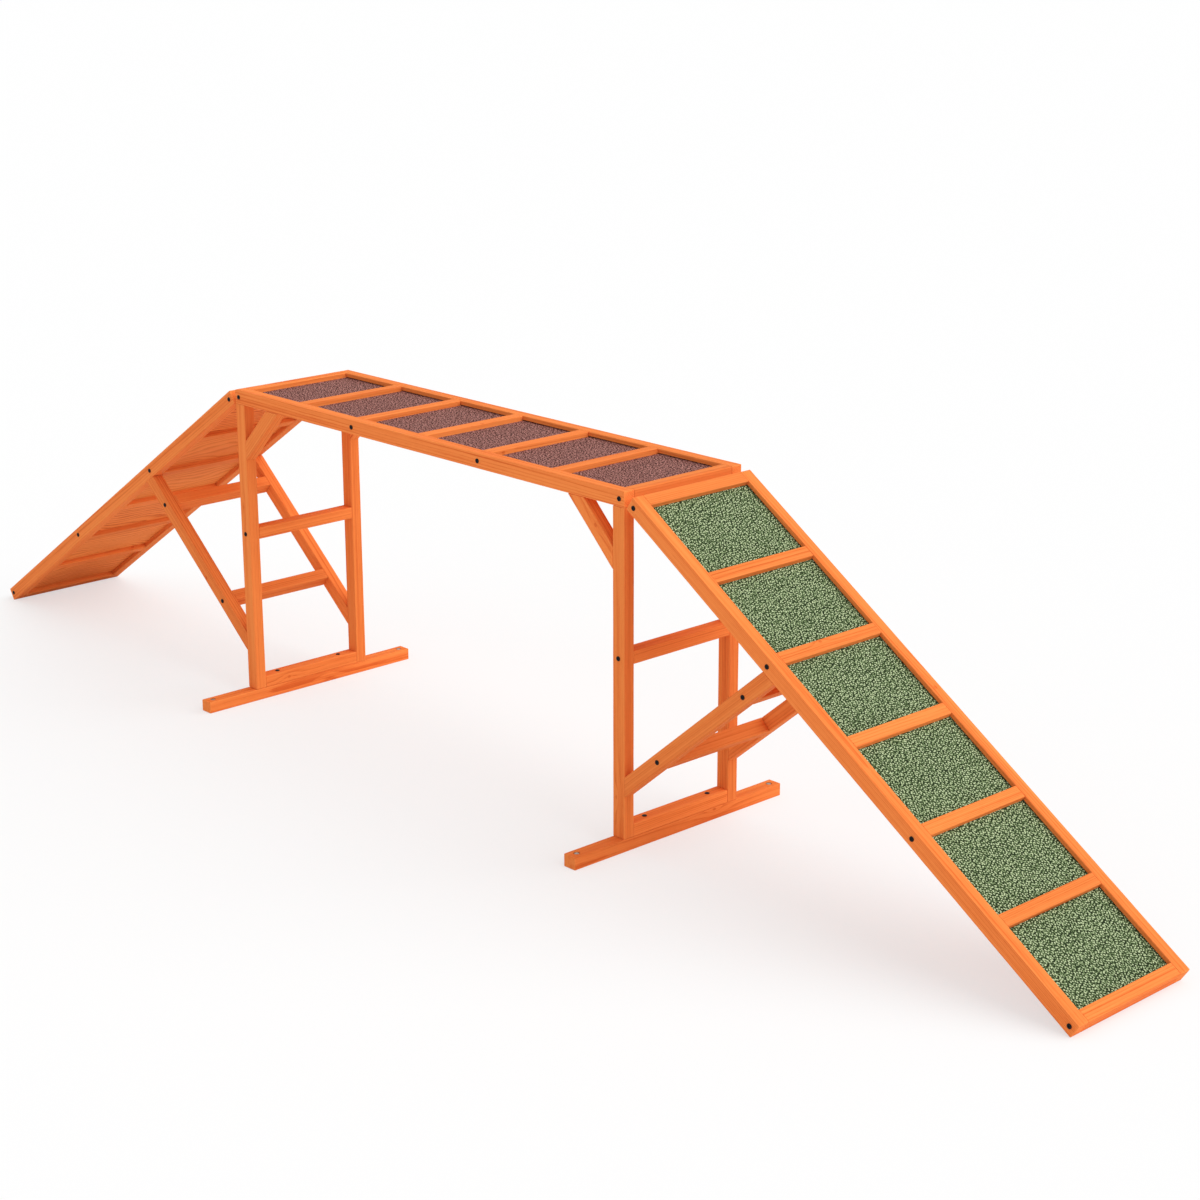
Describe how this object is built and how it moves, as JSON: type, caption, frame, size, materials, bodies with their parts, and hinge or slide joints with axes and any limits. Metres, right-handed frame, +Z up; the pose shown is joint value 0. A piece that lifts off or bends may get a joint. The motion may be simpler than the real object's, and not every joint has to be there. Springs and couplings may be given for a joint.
{
  "type": "agility dog walk",
  "caption": "Raised timber dog walk: a level bridge on post frames with foot rails, and a sloping ramp down to the ground at each end, with gritted decks between side rails and cross slats.",
  "frame": {"origin": "on the ground, under the middle of the bridge", "axes": "+X along the walk towards the right ramp, +Y across the walk towards its far side, +Z up"},
  "size_m": [4.8928, 0.82, 1.037],
  "materials": {
    "stained_timber": "planed softwood with an orange wood stain, satin, straight grain showing through",
    "maroon_grit_deck": "plywood with a maroon sanded grit coat on top and bare stained plywood below",
    "green_grit_deck": "plywood with a green sanded grit coat on top and bare stained plywood below",
    "black_steel": "black coated steel, semi-matt",
    "zinc_steel": "bright zinc plate"
  },
  "bodies": {
    "root": {"bridge_side_rail_near": "stained_timber", "bridge_side_rail_far": "stained_timber", "bridge_slat_1": "stained_timber", "bridge_slat_2": "stained_timber", "bridge_slat_3": "stained_timber", "bridge_slat_4": "stained_timber", "bridge_slat_5": "stained_timber", "bridge_slat_6": "stained_timber", "bridge_slat_7": "stained_timber", "bridge_deck_panels": "maroon_grit_deck", "left_ramp_side_rail_near": "stained_timber", "left_ramp_side_rail_far": "stained_timber", "left_ramp_slat_1": "stained_timber", "left_ramp_slat_2": "stained_timber", "left_ramp_slat_3": "stained_timber", "left_ramp_slat_4": "stained_timber", "left_ramp_slat_5": "stained_timber", "left_ramp_slat_6": "stained_timber", "left_ramp_slat_7": "stained_timber", "left_ramp_deck_panels": "green_grit_deck", "right_ramp_side_rail_near": "stained_timber", "right_ramp_side_rail_far": "stained_timber", "right_ramp_slat_1": "stained_timber", "right_ramp_slat_2": "stained_timber", "right_ramp_slat_3": "stained_timber", "right_ramp_slat_4": "stained_timber", "right_ramp_slat_5": "stained_timber", "right_ramp_slat_6": "stained_timber", "right_ramp_slat_7": "stained_timber", "right_ramp_deck_panels": "green_grit_deck", "left_post_near": "stained_timber", "left_post_far": "stained_timber", "right_post_near": "stained_timber", "right_post_far": "stained_timber", "left_foot_rail": "stained_timber", "right_foot_rail": "stained_timber", "left_bottom_rail": "stained_timber", "right_bottom_rail": "stained_timber", "left_rung": "stained_timber", "right_rung": "stained_timber", "left_knee_brace_near": "stained_timber", "left_knee_brace_far": "stained_timber", "right_knee_brace_near": "stained_timber", "right_knee_brace_far": "stained_timber", "left_ramp_strut_near": "stained_timber", "left_ramp_strut_far": "stained_timber", "right_ramp_strut_near": "stained_timber", "right_ramp_strut_far": "stained_timber", "left_strut_tie_lower": "stained_timber", "left_strut_tie_upper": "stained_timber", "right_strut_tie_lower": "stained_timber", "right_strut_tie_upper": "stained_timber", "left_rung_bolt_near": "black_steel", "left_rung_bolt_far": "black_steel", "right_rung_bolt_near": "black_steel", "right_rung_bolt_far": "black_steel", "left_ground_bolt_near": "zinc_steel", "left_ground_bolt_far": "zinc_steel", "right_ground_bolt_near": "zinc_steel", "right_ground_bolt_far": "zinc_steel"}
  },
  "joints": []
}
